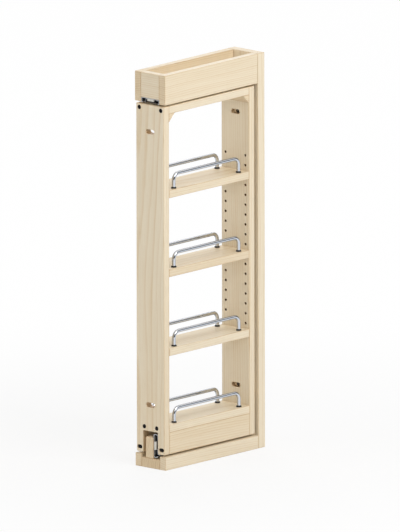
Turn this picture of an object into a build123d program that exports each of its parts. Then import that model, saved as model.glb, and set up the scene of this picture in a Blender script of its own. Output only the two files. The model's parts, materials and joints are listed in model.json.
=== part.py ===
from build123d import *
import os
from math import cos, pi, radians, sin

os.makedirs("parts", exist_ok=True)

# Wall filler pull-out: a narrow frame with four railed shelves that slides forward out of a gap
# between two cabinets. It runs between a box fixed at the top of the gap and a box fixed at its foot.
# X is the width, with the near side at -X. The front panel faces -Y. Z is up from the foot.
# All sizes are millimetres.

# Overall sizes
unit_width = 76.2
unit_depth = 282.6
unit_height = 762.0

# Board stock
board_thick = 15.0
panel_thick = 19.05
floor_thick = 19.05
edge_ease = 0.6

# The two fixed boxes
top_box_height = 57.15
bottom_box_height = 25.4
panel_clearance = 0.5

# The rail board that stands on the floor board and carries the lower slide
rail_board_thick = 19.05
rail_board_height = 41.3
rail_board_round = 5.0

# The pull-out frame
side_clearance = 3.3
top_clearance = 3.85
bottom_clearance = 3.6
panel_gap = 6.5
apron_height = 42.0
notch_lip = 1.0
corner_leg = 15.9

# Slots in the front and the back board, and the spacers behind the panel
slot_length = 22.0
slot_height = 9.0
slot_below_frame_top = 52.0
slot_above_fixed_shelf = 35.5
slot_recess = 9.0
slot_neck_length = 18.0
slot_neck_height = 5.0
spacer_width = 40.0
spacer_height = 36.0

# Rows of holes for the shelf pins, and the pins
pin_column_spacing = 50.0
pin_pitch = 19.05
first_pin_row = 224.5
least_space_over_rows = 130.0
pin_radius = 2.5
pin_fit = 0.05
pin_hole_depth = 9.0
pin_reach = 6.5

# Adjustable shelves
adjustable_shelves = 3
spare_rows_on_top = 2
pin_above_underside = 6.0
shelf_end_clearance = 0.3

# Wire rails on the shelves, and their feet
wire_radius = 3.4
rail_spacing = 54.0
rail_length = 184.2
rail_height = 28.0
rail_bend_radius = 13.0
rail_bend_steps = 4
foot_radius = 5.2
foot_height = 3.0

# Small round features repeat many times, so each is drawn with few sides
slot_sides = 12
round_sides = 10
small_sides = 8
ball_flat_share = 0.38
ball_chamfer_share = 0.52

# Ball-bearing slides, measured across (w) and out from the face that they are fixed to (t)
slide_height = 45.7
slide_thick = 12.7
slide_sheet = 1.2
slide_from_back = 1.0
slide_from_front = 8.05
slide_above_floor = 2.4
member_stagger = 6.0
inner_member_gap = 0.5
running_clearance = 0.03
outer_ball_radius = 2.0
outer_groove_depth = 0.6
outer_ball_level = 5.4
inner_ball_radius = 1.6
inner_groove_depth = 0.5
inner_ball_level = 9.0
lip_level = 9.8
lip_clearance = 0.6
middle_web_level = 3.4
middle_edge_level = 11.0
inner_edge_level = 6.6
member_corner = 0.5
access_slot_length = 14.0
access_slot_width = 9.0

# Ball cages
cage_thick = 0.8
outer_cage_width = 5.6
inner_cage_width = 4.6
cage_length = 110.0
cage_from_back = 75.0
balls_in_row = 3
ball_fit = 0.05

# Stops at the back of the slides
bumper_length = 4.0
bumper_width = 16.0
bumper_height = 4.8

# Screws
screw_radius = 2.0
screw_head_radius = 4.0
screw_head_depth = 2.3
screw_length = 32.0
screw_fit = 0.05
top_rail_screw_spacing = 54.0
fixed_shelf_screw_spacing = 31.0
apron_screw_level = 38.0
oval_length = 12.6
oval_height = 7.4
oval_depth = 3.5
washer_thick = 1.0
washer_fit = 0.2
pan_head_radius = 3.4
pan_head_height = 1.7
slide_screw_radius = 1.8
slide_screw_length = 11.0
slide_screw_inset = 24.0
panel_screw_head_radius = 4.2
panel_screw_head_height = 2.6
panel_screw_length = 26.0

# Depths, counted from the back face towards the front
back_y = unit_depth / 2
panel_back = unit_depth - panel_thick
box_depth = panel_back - panel_clearance
frame_depth = panel_back - panel_gap
bay_back = board_thick
bay_front = frame_depth - board_thick

# Widths, counted from the middle
unit_side = unit_width / 2
box_inside = unit_side - board_thick
frame_side = unit_side - side_clearance
apron_face = frame_side - board_thick
notch_half = apron_face - notch_lip
rail_board_near = slide_thick - apron_face

# Heights
frame_bottom = bottom_box_height + bottom_clearance
top_box_bottom = unit_height - top_box_height
frame_top = top_box_bottom - top_clearance
web_bottom = frame_top + slide_thick
top_rail_bottom = frame_top - board_thick
fixed_shelf_bottom = frame_bottom + apron_height
fixed_shelf_top = fixed_shelf_bottom + board_thick
lower_slide_middle = floor_thick + slide_above_floor + slide_height / 2
slot_levels = [fixed_shelf_top + slot_above_fixed_shelf, frame_top - slot_below_frame_top]
pin_rows = int((frame_top - least_space_over_rows - first_pin_row) / pin_pitch) + 1
rows_apart = (pin_rows - 1 - spare_rows_on_top) // (adjustable_shelves - 1)
pin_levels = [first_pin_row + shelf * rows_apart * pin_pitch for shelf in range(adjustable_shelves)]
shelf_undersides = [level - pin_above_underside for level in pin_levels]
shelf_tops = [fixed_shelf_top] + [underside + board_thick for underside in shelf_undersides]

# Places of screws and slots in the front and the back board, as (x, z)
fixed_shelf_level = (fixed_shelf_bottom + fixed_shelf_top) / 2
apron_middle = (apron_face + frame_side) / 2
top_rail_screw_places = [(side * top_rail_screw_spacing / 2, frame_top - board_thick / 2) for side in (-1, 1)]
fixed_shelf_screw_places = [(side * fixed_shelf_screw_spacing / 2, fixed_shelf_level) for side in (-1, 1)]
frame_screw_places = top_rail_screw_places + fixed_shelf_screw_places
apron_screw_places = [(side * apron_middle, apron_screw_level) for side in (-1, 1)]
slot_places = [(0, level) for level in slot_levels]

# Slide section, counted from the middle of the slide outwards
outer_groove = outer_ball_radius + running_clearance
inner_groove = inner_ball_radius + running_clearance
outer_ball_w = slide_height / 2 - slide_sheet - outer_groove
outer_wall = outer_ball_w + outer_groove - outer_groove_depth
middle_outside = outer_ball_w - outer_groove + outer_groove_depth
middle_inside = middle_outside - slide_sheet
inner_ball_w = middle_inside - inner_groove + inner_groove_depth
inner_outside = inner_ball_w - inner_groove + inner_groove_depth
inner_inside = inner_outside - slide_sheet
lip_edge = inner_ball_w + inner_groove + slide_sheet + lip_clearance

# Depths of the slide members and of the screws that hold them
slides = ("upper", "lower")
outer_span = (slide_from_back, box_depth - slide_from_front)
middle_span = (slide_from_back + member_stagger, box_depth - slide_from_front)
inner_span = (bay_back + inner_member_gap, bay_front - inner_member_gap)
inner_screw_depths = [inner_span[0] + slide_screw_inset, inner_span[1] - slide_screw_inset]
outer_screw_depths = [outer_span[0] + slide_screw_inset, sum(outer_span) / 2]
outer_screw_depths += [outer_span[1] - slide_screw_inset]


def save(piece, name):
    """Label a finished piece and write it to its own file."""
    piece.part.label = name
    export_step(piece.part, f"parts/{name}.step")


def across(depth):
    """A plane across the unit at a depth from the back, facing the front. Its axes are X and Z."""
    return Plane.XZ.offset(depth - back_y)


def out_of_face(depth, places, towards_back):
    """Planes at (x, z) places on an upright face, facing out of it."""
    outward = (0, 1, 0) if towards_back else (0, -1, 0)
    return [Plane(origin=(x, back_y - depth, z), x_dir=(0, 0, 1), z_dir=outward) for x, z in places]


def slide_plane(slide, depth, level=0):
    """A slide's own plane, facing the front: X runs across the slide and Y away from its fixed board."""
    y = back_y - depth
    if slide == "upper":
        return Plane(origin=(0, y, web_bottom - level), x_dir=(-1, 0, 0), z_dir=(0, -1, 0))
    return Plane(origin=(rail_board_near - level, y, lower_slide_middle), x_dir=(0, 0, 1), z_dir=(0, -1, 0))


def sheet_planes(slide, level, depths, facing_away):
    """Planes on the sheet of a slide at a level, facing away from its fixed board or towards it."""
    planes = []
    for depth in depths:
        frame = slide_plane(slide, depth, level)
        outward = frame.y_dir if facing_away else -frame.y_dir
        planes.append(Plane(origin=frame.origin, x_dir=(0, 1, 0), z_dir=outward))
    return planes


def disc(radius, sides, mode=Mode.ADD):
    """A many-sided outline round a circle of the radius, with flats at its top and sides."""
    return RegularPolygon(radius, sides, major_radius=False, rotation=180 / sides, mode=mode)


def oval(length, height, sides, turn=0):
    """A slot outline with many-sided ends, lying along the sketch's X, or turned from it."""
    with BuildSketch(mode=Mode.PRIVATE) as outline:
        Rectangle(length - height, height)
        with GridLocations(length - height, 1, 2, 1):
            disc(height / 2, sides)
    return add(outline.sketch, rotation=turn)


def rods(planes, radius, length, sides=small_sides):
    """Many-sided rods that run back from the planes."""
    with BuildPart() as pieces:
        with BuildSketch(*planes):
            disc(radius, sides)
        extrude(amount=-length)
    return pieces.part


def copies(piece, planes):
    """The same piece at each of the planes."""
    with BuildPart() as pieces:
        with Locations(*planes):
            add(piece)
    return pieces.part


def flat_screw(grow=0.0):
    """A countersunk screw below the origin, or the hole for it."""
    with BuildPart() as screw:
        with BuildSketch():
            disc(screw_head_radius + grow, small_sides)
        extrude(amount=-screw_head_depth)
        chamfer(screw.edges().group_by(Axis.Z)[0], length=screw_head_radius - screw_radius)
        with BuildSketch():
            disc(screw_radius + grow, small_sides)
        extrude(amount=-screw_length)
    return screw.part


def pan_screw(head_radius, head_height, radius, length, sides=small_sides):
    """A screw with its shank below the origin and its flat-based head above."""
    with BuildPart() as screw:
        with BuildSketch():
            disc(head_radius, sides)
        extrude(amount=head_height)
        with BuildSketch():
            disc(radius, small_sides)
        extrude(amount=-length)
    return screw.part


def board(name, widths, depths, levels, cuts=()):
    """A board with eased edges, given by its ranges in width, depth and height."""
    with BuildPart() as piece:
        with BuildSketch(across(depths[0])):
            with Locations((sum(widths) / 2, sum(levels) / 2)):
                Rectangle(widths[1] - widths[0], levels[1] - levels[0])
        extrude(amount=depths[1] - depths[0])
        chamfer(piece.edges(), length=edge_ease)
        for cut in cuts:
            add(cut, mode=Mode.SUBTRACT)
    save(piece, name)


def side_pair(name, inner, outer, depths, levels, cuts=()):
    """The near and the far one of two boards that mirror each other."""
    board(f"{name}_near", (-outer, -inner), depths, levels, cuts)
    board(f"{name}_far", (inner, outer), depths, levels, cuts)


def end_holes(places):
    """Pilot holes for the frame's screws in both ends of a board that spans the bay."""
    ends = out_of_face(bay_back, places, True) + out_of_face(bay_front, places, False)
    return rods(ends, screw_radius + screw_fit, screw_length - board_thick)


def outer_screw_holes(slide, length):
    """Holes for the screws that hold a slide's outer member to its fixed board."""
    planes = sheet_planes(slide, slide_sheet, outer_screw_depths, True)
    return rods(planes, slide_screw_radius + screw_fit, length)


def inner_screw_holes(slide, length):
    """Holes for the screws that hold a slide's inner member to the pull-out frame."""
    planes = sheet_planes(slide, slide_thick - slide_sheet, inner_screw_depths, False)
    return rods(planes, slide_screw_radius + screw_fit, length)


# Top box
box_levels = (top_box_bottom, unit_height)
side_pair("top_side", box_inside, unit_side, (0, box_depth), box_levels)
board("top_end_piece", (-box_inside, box_inside), (0, board_thick), (web_bottom, unit_height))
web_levels = (web_bottom, web_bottom + board_thick)
web_holes = outer_screw_holes("upper", slide_screw_length)
board("top_web", (-box_inside, box_inside), (board_thick, box_depth), web_levels, [web_holes])

# Bottom box
side_pair("bottom_side", box_inside, unit_side, (0, box_depth), (0, bottom_box_height))
board("bottom_floor", (-box_inside, box_inside), (0, box_depth), (0, floor_thick))

# Rail board, rounded along its top
with BuildPart() as rail_board:
    with BuildSketch(across(0)):
        with Locations((rail_board_near + rail_board_thick / 2, floor_thick + rail_board_height / 2)):
            Rectangle(rail_board_thick, rail_board_height)
    extrude(amount=box_depth)
    fillet(rail_board.faces().sort_by(Axis.Z)[-1].edges().filter_by(Axis.Y), radius=rail_board_round)
    add(outer_screw_holes("lower", slide_screw_length), mode=Mode.SUBTRACT)
save(rail_board, "rail_board")


def strip(widths, levels, mode=Mode.ADD):
    """A straight length of sheet in a slide's section."""
    with Locations((sum(widths) / 2, sum(levels) / 2)):
        return Rectangle(widths[1] - widths[0], levels[1] - levels[0], mode=mode)


def bend(w, level, groove, widths, levels):
    """Sheet bent round a ball's groove, as far as it lies within the given widths and levels."""
    with BuildSketch(mode=Mode.PRIVATE) as piece:
        with Locations((w, level)):
            Circle(groove + slide_sheet)
        strip(widths, levels, Mode.INTERSECT)
    add(piece.sketch)


def groove(w, level, radius):
    """The race that a row of balls runs in."""
    with Locations((w, level)):
        Circle(radius, mode=Mode.SUBTRACT)


def fold(section, w, level):
    """Take off the sharp corner where the sheet is folded."""
    chamfer(section.vertices().sort_by_distance((w, level, 0))[0], length=member_corner)


outer_race = (outer_ball_w, outer_ball_level, outer_groove)
inner_race = (inner_ball_w, inner_ball_level, inner_groove)

# Half of each member's section, from the middle of the slide out to one side
with BuildSketch() as outer_half:
    outer_side = outer_wall + slide_sheet
    strip((0, outer_side), (0, slide_sheet))
    strip((outer_wall, outer_side), (0, lip_level))
    strip((lip_edge, outer_side), (lip_level - slide_sheet, lip_level))
    bend(*outer_race, (outer_wall, slide_height / 2), (0, lip_level))
    groove(*outer_race)
    fold(outer_half, outer_side, 0)
    fold(outer_half, outer_side, lip_level)

with BuildSketch() as middle_half:
    flange_levels = (middle_web_level, middle_edge_level)
    strip((0, middle_outside), (middle_web_level, middle_web_level + slide_sheet))
    strip((middle_inside, middle_outside), flange_levels)
    bend(*outer_race, (0, middle_outside), flange_levels)
    bend(*inner_race, (middle_inside, slide_height / 2), flange_levels)
    groove(*outer_race)
    groove(*inner_race)
    fold(middle_half, middle_outside, middle_web_level)

with BuildSketch() as inner_half:
    strip((0, inner_outside), (slide_thick - slide_sheet, slide_thick))
    strip((inner_inside, inner_outside), (inner_edge_level, slide_thick))
    bend(*inner_race, (0, inner_outside), (inner_edge_level, slide_thick))
    groove(*inner_race)
    fold(inner_half, inner_outside, slide_thick)


def slide_member(name, slide, half, span, cuts):
    """One rolled member of a slide: its half section, mirrored and drawn out along the depth."""
    with BuildPart() as piece:
        with BuildSketch(slide_plane(slide, span[0])):
            add(half.sketch)
            mirror(about=Plane.YZ)
        extrude(amount=span[1] - span[0])
        add(cuts, mode=Mode.SUBTRACT)
    save(piece, name)


def access_holes(slide):
    """Openings in the middle member, through which the outer member's screws are driven."""
    with BuildPart() as openings:
        with BuildSketch(*sheet_planes(slide, middle_web_level, outer_screw_depths, True)):
            oval(access_slot_length, access_slot_width, small_sides)
        extrude(amount=slide_sheet)
    return openings.part


def ball(radius):
    """A ball with few faces: an eight-sided barrel with wide chamfers."""
    with BuildPart() as piece:
        with BuildSketch():
            RegularPolygon(radius * cos(pi / small_sides), small_sides)
        extrude(amount=radius * (ball_flat_share + ball_chamfer_share), both=True)
        ends = piece.edges().group_by(Axis.Z)
        chamfer(ends[0] + ends[-1], length=radius * ball_chamfer_share)
    return piece.part


def ball_planes(slide, w, level):
    """Planes at the balls of one cage, facing out of its strips."""
    step = cage_length / balls_in_row
    depths = [cage_from_back + step * (place + 0.5) for place in range(balls_in_row)]
    planes = []
    for depth in depths:
        frame = slide_plane(slide, depth, level)
        for side in (-1, 1):
            centre = frame.origin + side * w * frame.x_dir
            planes.append(Plane(origin=centre, x_dir=(0, 1, 0), z_dir=frame.x_dir))
    return planes


def cage_and_balls(name, slide, w, level, width, radius):
    """Two pierced strips, one on each side of the slide, and the balls that they space out."""
    planes = ball_planes(slide, w, level)
    with BuildPart() as cage:
        with BuildSketch(slide_plane(slide, cage_from_back, level)):
            with GridLocations(2 * w, 1, 2, 1):
                Rectangle(cage_thick, width)
        extrude(amount=cage_length)
        with BuildSketch(*planes):
            disc(radius + ball_fit, small_sides)
        extrude(amount=cage_thick, both=True, mode=Mode.SUBTRACT)
    save(cage, f"{name}_cage")
    with BuildPart() as balls:
        add(copies(ball(radius), planes))
    save(balls, f"{name}_balls")


for slide in slides:
    slide_member(f"{slide}_slide_outer", slide, outer_half, outer_span, outer_screw_holes(slide, slide_sheet))
    slide_member(f"{slide}_slide_middle", slide, middle_half, middle_span, access_holes(slide))
    slide_member(f"{slide}_slide_inner", slide, inner_half, inner_span, inner_screw_holes(slide, slide_sheet))
    outer_row = (outer_ball_w, outer_ball_level, outer_cage_width, outer_ball_radius)
    inner_row = (inner_ball_w, inner_ball_level, inner_cage_width, inner_ball_radius)
    cage_and_balls(f"{slide}_outer", slide, *outer_row)
    cage_and_balls(f"{slide}_inner", slide, *inner_row)

# Screws of the slides
slide_screw = pan_screw(pan_head_radius, pan_head_height, slide_screw_radius, slide_screw_length)
with BuildPart() as outer_slide_screws:
    for slide in slides:
        add(copies(slide_screw, sheet_planes(slide, slide_sheet, outer_screw_depths, True)))
save(outer_slide_screws, "outer_slide_screws")

with BuildPart() as inner_slide_screws:
    for slide in slides:
        add(copies(slide_screw, sheet_planes(slide, slide_thick - slide_sheet, inner_screw_depths, False)))
save(inner_slide_screws, "inner_slide_screws")

# Rubber stops behind the middle members
with BuildPart() as slide_bumpers:
    with BuildSketch(*[slide_plane(slide, slide_from_back, slide_sheet) for slide in slides]):
        Rectangle(bumper_width, bumper_height, align=(Align.CENTER, Align.MIN))
    extrude(amount=bumper_length)
save(slide_bumpers, "slide_bumpers")


def frame_board(name, rear_face, is_back):
    """The back or the front board of the pull-out frame. Only their slots differ."""
    front_face = rear_face + board_thick
    outer_face, inner_face = (rear_face, front_face) if is_back else (front_face, rear_face)
    into_bay = 1 if is_back else -1
    flat_planes = out_of_face(outer_face, frame_screw_places, is_back)
    apron_planes = out_of_face(outer_face, apron_screw_places, is_back)
    with BuildPart() as piece:
        with BuildSketch(across(rear_face)):
            with Locations((0, (frame_bottom + frame_top) / 2)):
                Rectangle(2 * frame_side, frame_top - frame_bottom)
        extrude(amount=board_thick)
        chamfer(piece.edges(), length=edge_ease)
        # Notch that clears the lower slide and its board
        with BuildSketch(across(rear_face)):
            with Locations((0, frame_bottom + apron_height / 2)):
                Rectangle(2 * notch_half, apron_height)
        extrude(amount=board_thick, mode=Mode.SUBTRACT)
        # Slots: plain in the back board, stepped for the panel's screws in the front one
        slot = (slot_length, slot_height) if is_back else (slot_neck_length, slot_neck_height)
        with BuildSketch(across(rear_face)):
            with Locations(*slot_places):
                oval(*slot, slot_sides)
        extrude(amount=board_thick, mode=Mode.SUBTRACT)
        if not is_back:
            with BuildSketch(across(rear_face)):
                with Locations(*slot_places):
                    oval(slot_length, slot_height, slot_sides)
            extrude(amount=slot_recess, mode=Mode.SUBTRACT)
        # Two columns of blind holes in the inner face
        with BuildSketch(across(inner_face)):
            with Locations((0, first_pin_row + (pin_rows - 1) * pin_pitch / 2)):
                with GridLocations(pin_column_spacing, pin_pitch, 2, pin_rows):
                    disc(pin_radius + pin_fit, small_sides)
        extrude(amount=-into_bay * pin_hole_depth, mode=Mode.SUBTRACT)
        # Screw holes, with an oval recess round each screw to an apron
        with BuildSketch(*apron_planes):
            oval(oval_length, oval_height, small_sides, turn=90)
        extrude(amount=-oval_depth, mode=Mode.SUBTRACT)
        add(rods(apron_planes, screw_radius + screw_fit, board_thick), mode=Mode.SUBTRACT)
        add(copies(flat_screw(screw_fit), flat_planes), mode=Mode.SUBTRACT)
    save(piece, name)


frame_board("back_board", 0, True)
frame_board("front_board", bay_front, False)

# Top rail, lowest shelf and aprons, all screwed between the back and the front board
bay = (bay_back, bay_front)
full_width = (-frame_side, frame_side)
top_rail_cuts = [end_holes(top_rail_screw_places), inner_screw_holes("upper", slide_screw_length)]
board("top_rail", full_width, bay, (top_rail_bottom, frame_top), top_rail_cuts)
fixed_shelf_levels = (fixed_shelf_bottom, fixed_shelf_top)
board("fixed_shelf", full_width, bay, fixed_shelf_levels, [end_holes(fixed_shelf_screw_places)])
apron_cuts = [end_holes(apron_screw_places), inner_screw_holes("lower", slide_screw_length)]
side_pair("apron", apron_face, frame_side, bay, (frame_bottom, fixed_shelf_bottom), apron_cuts)


def corner_block(name, corner_depth, towards_front):
    """A three-sided glue block that stiffens the joint of the top rail with an upright board."""
    corner_y = back_y - corner_depth
    leg = -corner_leg if towards_front else corner_leg
    with BuildPart() as piece:
        with BuildSketch(Plane.YZ.offset(-frame_side)):
            with BuildLine():
                Polyline(
                    (corner_y, top_rail_bottom),
                    (corner_y + leg, top_rail_bottom),
                    (corner_y, top_rail_bottom - corner_leg),
                    close=True,
                )
            make_face()
        extrude(amount=2 * frame_side)
    save(piece, name)


corner_block("corner_block_back", bay_back, True)
corner_block("corner_block_front", bay_front, False)


def adjustable_shelf(name, underside):
    """A shelf that drops over four pins, which its ends hide."""
    with BuildPart() as piece:
        with BuildSketch(across(bay_back + shelf_end_clearance)):
            with Locations((0, underside + board_thick / 2)):
                Rectangle(2 * frame_side, board_thick)
        extrude(amount=bay_front - bay_back - 2 * shelf_end_clearance)
        chamfer(piece.edges(), length=edge_ease)
        notch_height = pin_above_underside + pin_radius + pin_fit
        notch_length = pin_reach + pin_fit
        for depth, length in ((bay_back, notch_length), (bay_front, -notch_length)):
            with BuildSketch(across(depth)):
                with Locations((0, underside + notch_height / 2)):
                    with GridLocations(pin_column_spacing, 1, 2, 1):
                        Rectangle(2 * (pin_radius + pin_fit), notch_height)
            extrude(amount=length, mode=Mode.SUBTRACT)
    save(piece, name)


for number, underside in enumerate(shelf_undersides, start=1):
    adjustable_shelf(f"shelf_{number}", underside)

pin_places = [(side * pin_column_spacing / 2, level) for level in pin_levels for side in (-1, 1)]
pin_tips = out_of_face(bay_back + pin_reach, pin_places, False)
pin_tips += out_of_face(bay_front - pin_reach, pin_places, True)
with BuildPart() as shelf_pins:
    add(rods(pin_tips, pin_radius, pin_hole_depth + pin_reach))
save(shelf_pins, "shelf_pins")


def rail_route(x, shelf_top):
    """Points along a wire rail: up a leg, round a bend in short steps, along, and down again."""
    middle_y = back_y - frame_depth / 2
    bend_y = rail_length / 2 - rail_bend_radius
    bend_z = shelf_top + rail_height - rail_bend_radius
    turns = [pi / 2 * step / rail_bend_steps for step in range(rail_bend_steps + 1)]
    bend = [(bend_y + rail_bend_radius * cos(turn), bend_z + rail_bend_radius * sin(turn)) for turn in turns]
    half = [(rail_length / 2, shelf_top + foot_height)] + bend
    back_half = [(x, middle_y + along, z) for along, z in half]
    front_half = [(x, middle_y - along, z) for along, z in reversed(half)]
    return back_half + front_half


def wire_rail(name, x, shelf_top):
    """A bent wire rail that stands along one side of a shelf."""
    route = rail_route(x, shelf_top)
    with BuildPart() as piece:
        with BuildLine():
            Polyline(*route)
        with BuildSketch(Plane(origin=route[0], z_dir=(0, 0, 1))):
            RegularPolygon(wire_radius, round_sides)
        sweep(transition=Transition.RIGHT)
    save(piece, name)


for number, shelf_top in enumerate(shelf_tops):
    for side, x in (("near", -rail_spacing / 2), ("far", rail_spacing / 2)):
        wire_rail(f"wire_rail_{number}_{side}", x, shelf_top)

# Feet under the legs of the wire rails
feet_planes = [Plane.XY.offset(shelf_top) for shelf_top in shelf_tops]
with BuildPart() as rail_feet:
    with BuildSketch(*feet_planes):
        with Locations((0, back_y - frame_depth / 2)):
            with GridLocations(rail_spacing, rail_length, 2, 2):
                disc(foot_radius, round_sides)
    extrude(amount=foot_height)
save(rail_feet, "rail_feet")


# Countersunk screws of the frame
frame_screw_planes = out_of_face(0, frame_screw_places, True)
frame_screw_planes += out_of_face(frame_depth, frame_screw_places, False)
with BuildPart() as frame_screws:
    add(copies(flat_screw(), frame_screw_planes))
save(frame_screws, "frame_screws")

# Oval washers in the recesses, and the screws that pull the boards onto the aprons
washer_seat = oval_depth - washer_thick
washer_planes = out_of_face(washer_seat, apron_screw_places, True)
washer_planes += out_of_face(frame_depth - washer_seat, apron_screw_places, False)
with BuildPart() as apron_washers:
    with BuildSketch(*washer_planes):
        oval(oval_length - washer_fit, oval_height - washer_fit, small_sides, turn=90)
        disc(screw_radius + screw_fit, small_sides, mode=Mode.SUBTRACT)
    extrude(amount=-washer_thick)
save(apron_washers, "apron_washers")

apron_screw = pan_screw(pan_head_radius, pan_head_height, screw_radius, screw_length - washer_seat)
with BuildPart() as apron_screws:
    add(copies(apron_screw, washer_planes))
save(apron_screws, "apron_screws")

# Front panel, with the spacers behind it and the screws that hold it through the slots
panel_screw_planes = out_of_face(bay_front + slot_recess, slot_places, True)
panel_holes = rods(panel_screw_planes, screw_radius + screw_fit, panel_screw_length)
panel_screw_head = (panel_screw_head_radius, panel_screw_head_height)
panel_screw = pan_screw(*panel_screw_head, screw_radius, panel_screw_length, round_sides)
with BuildPart() as panel_screws:
    add(copies(panel_screw, panel_screw_planes))
save(panel_screws, "panel_screws")

with BuildPart() as panel_spacers:
    with BuildSketch(across(frame_depth)):
        with Locations(*slot_places):
            Rectangle(spacer_width, spacer_height)
    extrude(amount=panel_gap)
    add(panel_holes, mode=Mode.SUBTRACT)
save(panel_spacers, "panel_spacers")

board("front_panel", (-unit_side, unit_side), (panel_back, unit_depth), (0, unit_height), [panel_holes])
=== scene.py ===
import json
from math import acos, cos, pi, radians, sin, tan

import bmesh
import bpy
from mathutils import Matrix, Vector


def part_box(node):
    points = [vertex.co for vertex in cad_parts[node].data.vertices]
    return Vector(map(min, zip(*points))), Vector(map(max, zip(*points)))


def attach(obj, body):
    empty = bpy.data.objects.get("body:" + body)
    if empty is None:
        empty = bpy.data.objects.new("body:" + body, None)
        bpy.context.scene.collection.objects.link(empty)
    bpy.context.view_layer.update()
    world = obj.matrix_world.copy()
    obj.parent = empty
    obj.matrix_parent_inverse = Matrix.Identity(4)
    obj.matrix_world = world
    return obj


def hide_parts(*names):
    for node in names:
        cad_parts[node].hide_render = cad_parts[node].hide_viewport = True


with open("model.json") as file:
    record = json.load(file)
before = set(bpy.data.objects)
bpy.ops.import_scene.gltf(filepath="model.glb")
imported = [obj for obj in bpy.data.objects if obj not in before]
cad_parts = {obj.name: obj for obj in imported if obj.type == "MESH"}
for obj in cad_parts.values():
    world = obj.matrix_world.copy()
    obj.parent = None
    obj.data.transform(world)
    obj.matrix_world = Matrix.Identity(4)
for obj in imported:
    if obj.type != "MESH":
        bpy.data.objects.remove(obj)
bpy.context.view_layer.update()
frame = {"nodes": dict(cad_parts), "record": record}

# Looks of the wall filler pull-out. Lengths are metres, written as millimetres times mm.
mm = 0.001

# Camera: a parallel view from behind and a little above, as in the photograph
camera_azimuth = 221.65
camera_elevation = 12.35
camera_roll = -0.106
camera_distance = 4.0
picture_height = 532
pixels_per_metre = 530.2
picture_centre_right = -0.7 * mm
picture_centre_up = 358.38 * mm

# Lamps: name, azimuth, elevation, distance, size, and how bright each makes a white card at the object
lamps = (
    ("key", 262, 42, 3.0, 1.6, 0.46),
    ("fill", 165, 30, 3.2, 2.2, 0.13),
    ("front", 40, 35, 3.2, 2.2, 0.22),
)
lamp_aim = Vector((0, 0, 0.35))
world_level = 0.5

# What metal sees of the world, from straight down to straight up: (share of the way, grey)
mirror_bands = ((0.0, 0.8), (0.5, 0.05), (0.66, 0.1), (0.8, 1.0), (1.0, 0.9))

# Floor: how much of it shows as plain white, near the object and far from it
floor_half = 9.0
floor_drop = 0.3 * mm
white_near, white_far = 0.8, 0.99
near_distance, far_distance = 0.25, 1.3

# How far cutters reach: past a board's face, and to both sides of a member's and of a cage's sheet
cut_over = 1.0 * mm
punch_reach = 2.0 * mm
pierce_reach = 1.0 * mm

# How many sides round shapes have
slot_sides = 32
pin_hole_sides = 20
countersink_sides = 28
wire_sides = 28
rail_bend_steps = 12
foot_sides = 36
pin_sides = 24
screw_sides = 32
punched_sides = 24
ball_segments, ball_rings = 24, 14

# Faces that meet at less than this many degrees are shaded as one smooth surface
smooth_angle = 40
screw_smooth_angle = 32
rolled_smooth_angle = 30
carved_smooth_angle = 30

# Front and back board
board_edge = 0.9 * mm
hole_edge = 0.35 * mm
pin_column_half = 25.0 * mm
pin_pitch = 19.05 * mm
first_pin_row = 224.5 * mm
pin_rows = 19
pin_hole_radius = 2.55 * mm
pin_hole_depth = 9.0 * mm
drill_point_radius = 0.2 * mm
drill_point_depth = 1.2 * mm
slot_levels = (121.5 * mm, 649.0 * mm)
slot_half_length = 11.0 * mm
slot_half_height = 4.5 * mm
neck_half_length = 9.0 * mm
neck_half_height = 2.5 * mm
neck_edge = 0.01 * mm
slot_recess = 9.0 * mm
oval_half_length = 6.3 * mm
oval_half_height = 3.7 * mm
oval_depth = 3.5 * mm
washer_thick = 1.0 * mm
washer_fit = 0.1 * mm
washer_edge = 0.15 * mm
notch_half = 18.8 * mm
notch_height = 42.0 * mm
notch_edge = 0.6 * mm
top_screw_half_spacing = 27.0 * mm
top_screw_below_top = 7.5 * mm
shelf_screw_half_spacing = 15.5 * mm
shelf_screw_level = 78.5 * mm
apron_screw_half_spacing = 27.3 * mm
apron_screw_level = 38.0 * mm

# Screws. A length runs from the surface under a round head, and from the top of a flat one. The rim
# of a flat head lies between two depths below its top.
flat_head_radius = 4.3 * mm
flat_head_depth = 2.3 * mm
flat_head_land = 0.3 * mm
flat_head_fit = 0.1 * mm
flat_rim_bottom = 0.35 * mm
flat_rim_top = 0.12 * mm
flat_rim_edge = 0.15 * mm
shank_radius = 2.0 * mm
slide_shank_radius = 1.8 * mm
pan_head_radius = 3.4 * mm
pan_head_height = 1.7 * mm
panel_head_radius = 4.2 * mm
panel_head_height = 2.6 * mm
frame_screw_length = 31.0 * mm
apron_screw_length = 28.0 * mm
panel_screw_length = 25.0 * mm
slide_screw_length = 10.0 * mm
screw_turn = 2.1

# Cross recess. The reach and the width of its arms are shares of the crown's radius, its depth is a
# share of the reach, its floor of its mouth, and its inner corners lie at a share of the width.
recess_arm_share = 0.72
recess_width_share = 0.26
recess_depth_share = 0.75
recess_floor_share = 0.45
recess_corner_share = 0.7

# Wire rails, feet and shelf pins
wire_radius = 3.4 * mm
rail_bend_radius = 13.0 * mm
foot_radius = 5.2 * mm
foot_height = 3.0 * mm
pin_radius = 2.5 * mm
pin_reach = 6.5 * mm
pin_above_underside = 6.0 * mm
pin_start_edge = 0.7 * mm
pin_far_edge = 0.6 * mm

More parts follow.
